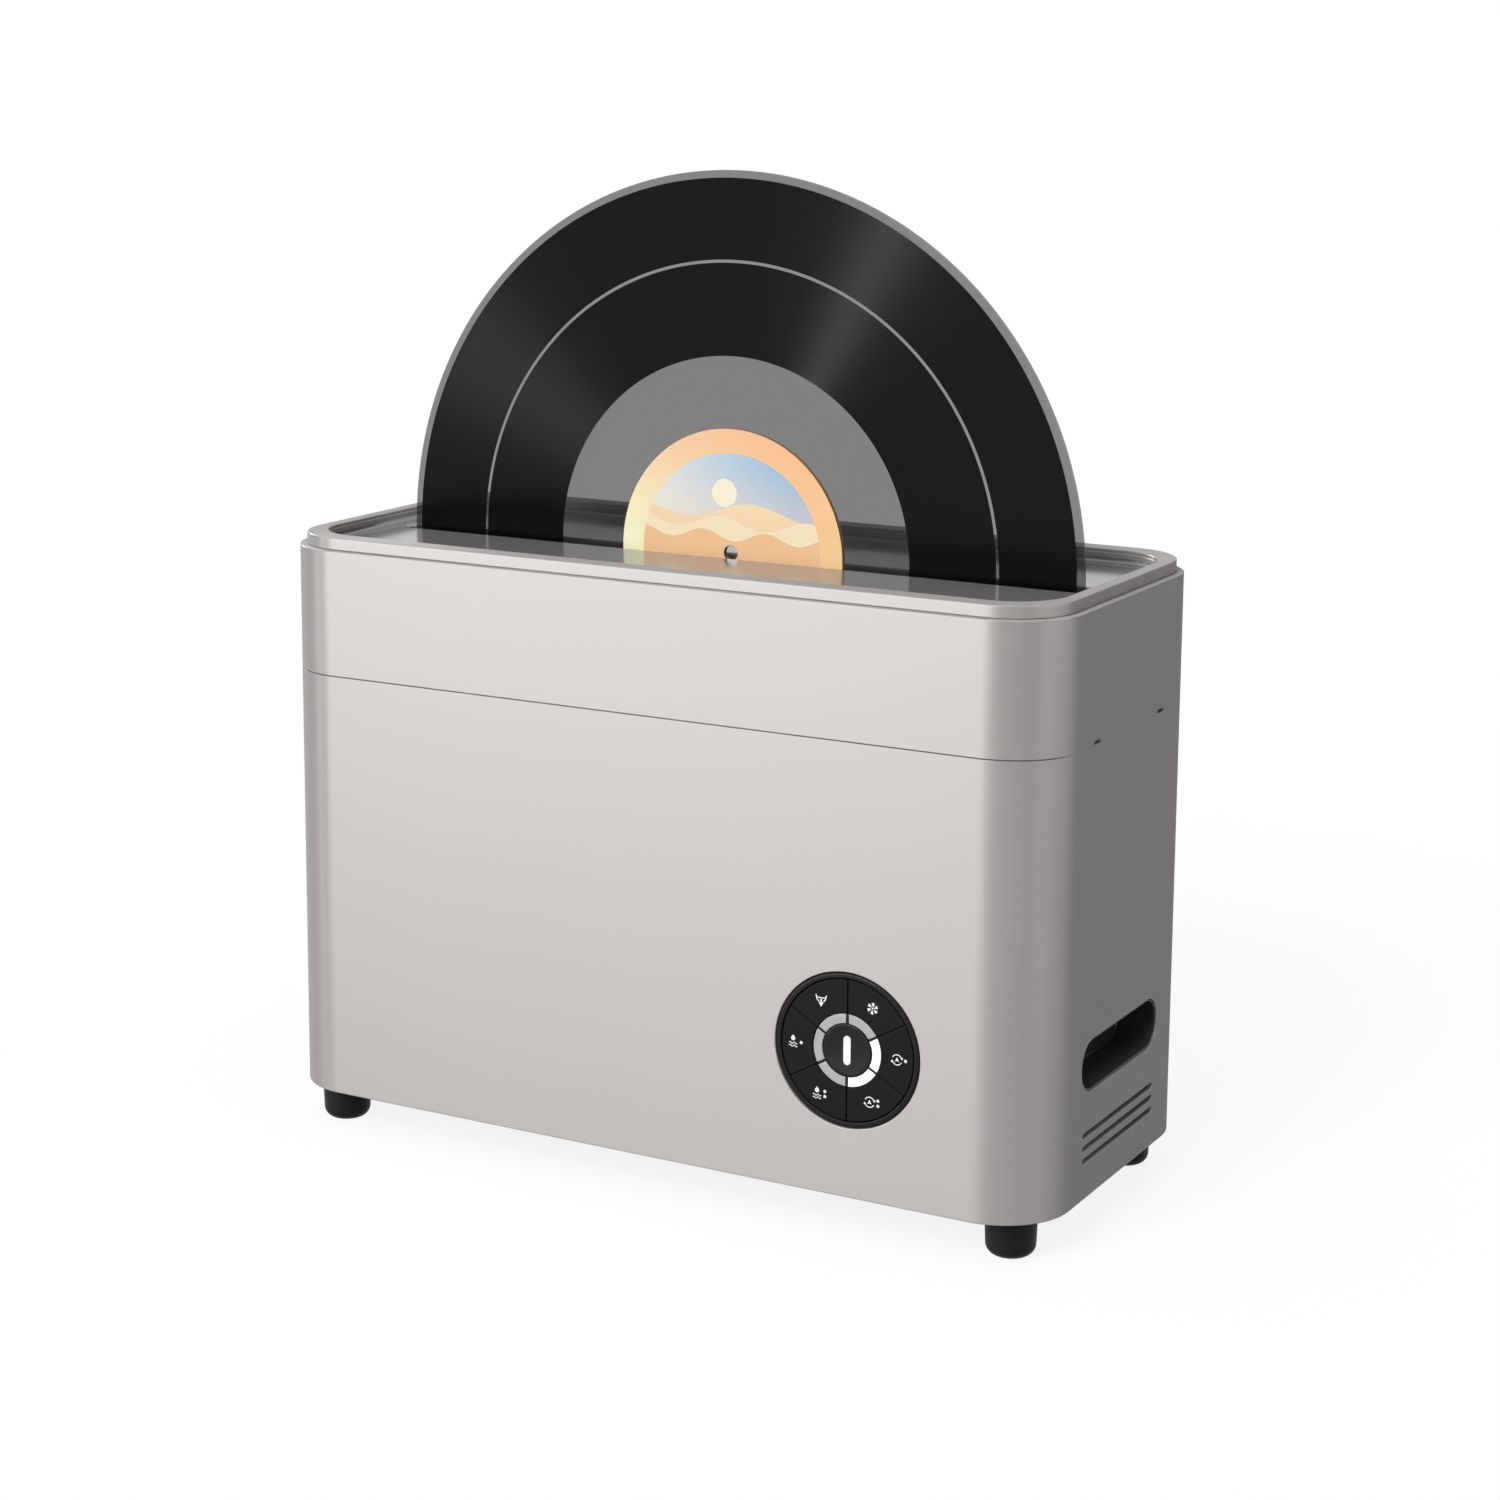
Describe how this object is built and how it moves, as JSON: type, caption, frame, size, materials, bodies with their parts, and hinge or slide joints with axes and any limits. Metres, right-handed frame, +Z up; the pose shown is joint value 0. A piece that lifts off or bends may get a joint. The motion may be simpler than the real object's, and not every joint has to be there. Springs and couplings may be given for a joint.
{
  "type": "record cleaning machine",
  "caption": "Upright record cleaning machine: a record stands on edge in a top slot, rollers turn it in a narrow ultrasonic basin, blowers dry it, and a water tank slides out of the side.",
  "frame": {"origin": "on the ground under the middle of the body, between the four feet", "axes": "+Z up, +X to the side that the tank slides out of, -Y towards the face with the dial; the record stands in the XZ plane"},
  "size_m": [0.34, 0.15, 0.3938],
  "materials": {
    "silver_paint": "fine satin silver",
    "dark_gloss": "gloss dark silver",
    "black_gloss": "gloss black",
    "black_plastic": "satin black",
    "grey_plastic": "matte grey",
    "clear_plastic": "smoke-clear",
    "light_plastic": "frosted light pipe",
    "rubber": "matte black",
    "steel": "fine brushed",
    "aluminium": "turned",
    "brass": "machined",
    "circuit_board": "green solder mask",
    "foam": "open foam",
    "vinyl": "gloss black, grooved",
    "label_paper": "printed paper"
  },
  "bodies": {
    "machine": {"lower_casing": "silver_paint", "bottom_cover": "black_plastic", "main_board": "circuit_board", "foot_front_left": "rubber", "foot_front_right": "rubber", "foot_rear_left": "rubber", "foot_rear_right": "rubber", "inner_deck": "grey_plastic", "wash_basin": "steel", "drain_spout": "black_plastic", "drain_plug": "rubber", "drive_bush": "brass", "idler_bush": "brass", "gear_motor": "steel", "motor_bracket": "steel", "blower_housing_front": "black_plastic", "blower_housing_rear": "black_plastic", "blower_cover_front": "black_plastic", "blower_cover_rear": "black_plastic", "air_nozzle_front": "black_plastic", "air_nozzle_rear": "black_plastic", "air_filter": "foam", "transducer_head_front": "aluminium", "transducer_head_rear": "aluminium", "transducer_tail_front": "steel", "transducer_tail_rear": "steel", "tank_bay": "black_plastic", "water_pump": "black_plastic", "fill_hose": "clear_plastic", "dc_jack": "black_plastic", "control_bezel": "black_plastic", "control_cup": "black_plastic", "control_board": "circuit_board", "key_mat": "rubber", "light_ring": "light_plastic"},
    "cover": {"upper_casing": "silver_paint", "top_tray": "dark_gloss"},
    "tank": {"tank_body": "clear_plastic", "tank_lid": "black_plastic", "tank_filter": "foam", "tank_front": "black_gloss"},
    "drive": {"drive_roller": "rubber", "drive_shaft": "steel", "drive_gear": "brass"},
    "idler": {"idler_roller": "rubber", "idler_shaft": "steel"},
    "pinion": {"motor_pinion": "brass"},
    "front_impeller": {"impeller_front": "grey_plastic"},
    "rear_impeller": {"impeller_rear": "grey_plastic"},
    "record": {"record_disc": "vinyl", "record_label_front": "label_paper", "record_label_rear": "label_paper"},
    "dry_button": {"key_dry": "black_plastic"},
    "drain_button": {"key_drain": "black_plastic"},
    "clean_1_button": {"key_clean_1": "black_plastic"},
    "clean_2_button": {"key_clean_2": "black_plastic"},
    "auto_1_button": {"key_auto_1": "black_plastic"},
    "auto_2_button": {"key_auto_2": "black_plastic"},
    "power_button": {"power_key": "black_plastic"}
  },
  "joints": [
    {"name": "cover_lift", "type": "slide", "parent": "machine", "child": "cover", "axis": [0, 0, 1], "range_m": [0, 0.21]},
    {"name": "tank_pull", "type": "slide", "parent": "machine", "child": "tank", "axis": [1, 0, 0], "range_m": [0, 0.32]},
    {"name": "drive_roller_spin", "type": "hinge", "parent": "machine", "child": "drive", "pos_m": [0.07955, 0, 0.10522], "axis": [0, 1, 0], "continuous": true},
    {"name": "idler_roller_spin", "type": "hinge", "parent": "machine", "child": "idler", "pos_m": [-0.07955, 0, 0.10522], "axis": [0, 1, 0], "continuous": true},
    {"name": "record_spin", "type": "hinge", "parent": "machine", "child": "record", "pos_m": [0, 0, 0.243], "axis": [0, 1, 0], "continuous": true},
    {"name": "motor_spin", "type": "hinge", "parent": "machine", "child": "pinion", "pos_m": [0.07955, 0.022, 0.12951], "axis": [0, 1, 0], "continuous": true},
    {"name": "front_blower_spin", "type": "hinge", "parent": "machine", "child": "front_impeller", "pos_m": [-0.094, -0.03, 0.1425], "axis": [0, 1, 0], "continuous": true},
    {"name": "rear_blower_spin", "type": "hinge", "parent": "machine", "child": "rear_impeller", "pos_m": [-0.094, 0.03, 0.1425], "axis": [0, 1, 0], "continuous": true},
    {"name": "dry_press", "type": "slide", "parent": "machine", "child": "dry_button", "axis": [0, 1, 0], "range_m": [0, 0.0008], "stiffness_N_per_m": 600},
    {"name": "drain_press", "type": "slide", "parent": "machine", "child": "drain_button", "axis": [0, 1, 0], "range_m": [0, 0.0008], "stiffness_N_per_m": 600},
    {"name": "clean_1_press", "type": "slide", "parent": "machine", "child": "clean_1_button", "axis": [0, 1, 0], "range_m": [0, 0.0008], "stiffness_N_per_m": 600},
    {"name": "clean_2_press", "type": "slide", "parent": "machine", "child": "clean_2_button", "axis": [0, 1, 0], "range_m": [0, 0.0008], "stiffness_N_per_m": 600},
    {"name": "auto_1_press", "type": "slide", "parent": "machine", "child": "auto_1_button", "axis": [0, 1, 0], "range_m": [0, 0.0008], "stiffness_N_per_m": 600},
    {"name": "auto_2_press", "type": "slide", "parent": "machine", "child": "auto_2_button", "axis": [0, 1, 0], "range_m": [0, 0.0008], "stiffness_N_per_m": 600},
    {"name": "power_press", "type": "slide", "parent": "machine", "child": "power_button", "axis": [0, 1, 0], "range_m": [0, 0.0008], "stiffness_N_per_m": 600}
  ],
  "couplings": [
    {"joint": "motor_spin", "follows": "drive_roller_spin", "ratio": -3},
    {"joint": "record_spin", "follows": "drive_roller_spin", "ratio": -0.05305},
    {"joint": "idler_roller_spin", "follows": "drive_roller_spin", "ratio": 1}
  ]
}
